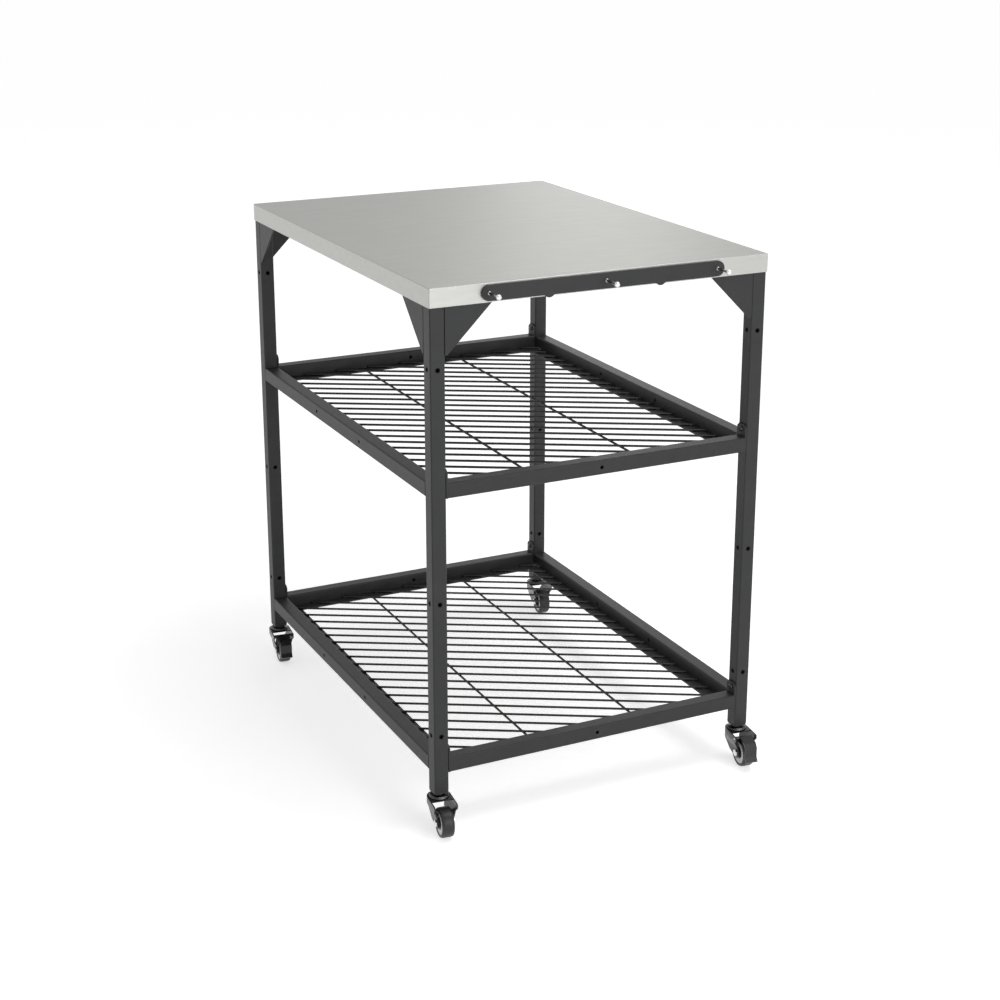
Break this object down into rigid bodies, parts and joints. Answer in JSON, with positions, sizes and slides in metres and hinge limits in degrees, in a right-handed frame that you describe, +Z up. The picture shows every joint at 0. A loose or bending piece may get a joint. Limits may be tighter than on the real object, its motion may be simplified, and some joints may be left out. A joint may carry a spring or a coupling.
{
  "type": "pizza oven table",
  "caption": "Rolling outdoor table for a pizza oven: steel tray top with a tool rack, square tube frame, wire shelves and swivel casters, some with brakes.",
  "frame": {"origin": "centre of the footprint, on the floor that the wheels stand on", "axes": "+X to the right seen from the side with the tool rack, +Y to the back, +Z up"},
  "size_m": [0.6172, 0.8573, 0.903],
  "materials": {
    "worktop_steel": "brushed",
    "powder_coat": "satin",
    "wire_coat": "satin",
    "peg_steel": "polished",
    "screw_steel": "zinc plated",
    "black_plastic": "matte",
    "caster_black": "satin",
    "caster_metal": "dark zinc",
    "tyre": "matte",
    "core_plastic": "smooth"
  },
  "bodies": {
    "frame": {"tabletop": "worktop_steel", "top_rail_front": "powder_coat", "top_rail_back": "powder_coat", "top_rail_left": "powder_coat", "top_rail_right": "powder_coat", "top_cross_rails": "powder_coat", "leg_front_left": "powder_coat", "leg_front_right": "powder_coat", "leg_back_left": "powder_coat", "leg_back_right": "powder_coat", "leg_plugs": "black_plastic", "shelf_screws": "screw_steel", "rivet_nuts": "screw_steel", "low_rail_front": "powder_coat", "low_rail_back": "powder_coat", "low_rail_left": "powder_coat", "low_rail_right": "powder_coat", "high_rail_front": "powder_coat", "high_rail_back": "powder_coat", "high_rail_left": "powder_coat", "high_rail_right": "powder_coat", "low_shelf_tabs": "powder_coat", "high_shelf_tabs": "powder_coat", "low_shelf_grid": "wire_coat", "high_shelf_grid": "wire_coat", "braces_front_left": "powder_coat", "braces_front_right": "powder_coat", "braces_back_left": "powder_coat", "braces_back_right": "powder_coat", "rack_bar": "powder_coat", "rack_pads": "powder_coat", "rack_pegs": "peg_steel", "caster_stems": "caster_metal"},
    "fork_front_left": {"caster_fork_front_left": "caster_black", "caster_pins_front_left": "screw_steel"},
    "wheel_front_left": {"tyre_front_left": "tyre", "wheel_core_front_left": "core_plastic"},
    "fork_front_right": {"caster_fork_front_right": "caster_black", "caster_pins_front_right": "screw_steel"},
    "wheel_front_right": {"tyre_front_right": "tyre", "wheel_core_front_right": "core_plastic"},
    "pedal_front_right": {"brake_pedal_front_right": "caster_black"},
    "fork_back_left": {"caster_fork_back_left": "caster_black", "caster_pins_back_left": "screw_steel"},
    "wheel_back_left": {"tyre_back_left": "tyre", "wheel_core_back_left": "core_plastic"},
    "pedal_back_left": {"brake_pedal_back_left": "caster_black"},
    "fork_back_right": {"caster_fork_back_right": "caster_black", "caster_pins_back_right": "screw_steel"},
    "wheel_back_right": {"tyre_back_right": "tyre", "wheel_core_back_right": "core_plastic"}
  },
  "joints": [
    {"name": "swivel_front_left", "type": "hinge", "parent": "frame", "child": "fork_front_left", "pos_m": [-0.286, -0.36075, 0.058], "axis": [0, 0, 1], "continuous": true},
    {"name": "wheel_front_left_spin", "type": "hinge", "parent": "fork_front_left", "child": "wheel_front_left", "pos_m": [-0.28966, -0.39053, 0.025], "axis": [0.9925, -0.1219, 0], "continuous": true},
    {"name": "swivel_front_right", "type": "hinge", "parent": "frame", "child": "fork_front_right", "pos_m": [0.286, -0.36075, 0.058], "axis": [0, 0, 1], "continuous": true},
    {"name": "wheel_front_right_spin", "type": "hinge", "parent": "fork_front_right", "child": "wheel_front_right", "pos_m": [0.28234, -0.39053, 0.025], "axis": [0.9925, -0.1219, 0], "continuous": true},
    {"name": "brake_front_right", "type": "hinge", "parent": "fork_front_right", "child": "pedal_front_right", "pos_m": [0.28186, -0.3945, 0.054], "axis": [-0.9925, 0.1219, 0], "range_deg": [0, 40]},
    {"name": "swivel_back_left", "type": "hinge", "parent": "frame", "child": "fork_back_left", "pos_m": [-0.286, 0.41125, 0.058], "axis": [0, 0, 1], "continuous": true},
    {"name": "wheel_back_left_spin", "type": "hinge", "parent": "fork_back_left", "child": "wheel_back_left", "pos_m": [-0.28966, 0.38147, 0.025], "axis": [0.9925, -0.1219, 0], "continuous": true},
    {"name": "brake_back_left", "type": "hinge", "parent": "fork_back_left", "child": "pedal_back_left", "pos_m": [-0.29014, 0.3775, 0.054], "axis": [-0.9925, 0.1219, 0], "range_deg": [0, 40]},
    {"name": "swivel_back_right", "type": "hinge", "parent": "frame", "child": "fork_back_right", "pos_m": [0.286, 0.41125, 0.058], "axis": [0, 0, 1], "continuous": true},
    {"name": "wheel_back_right_spin", "type": "hinge", "parent": "fork_back_right", "child": "wheel_back_right", "pos_m": [0.28234, 0.38147, 0.025], "axis": [0.9925, -0.1219, 0], "continuous": true}
  ]
}
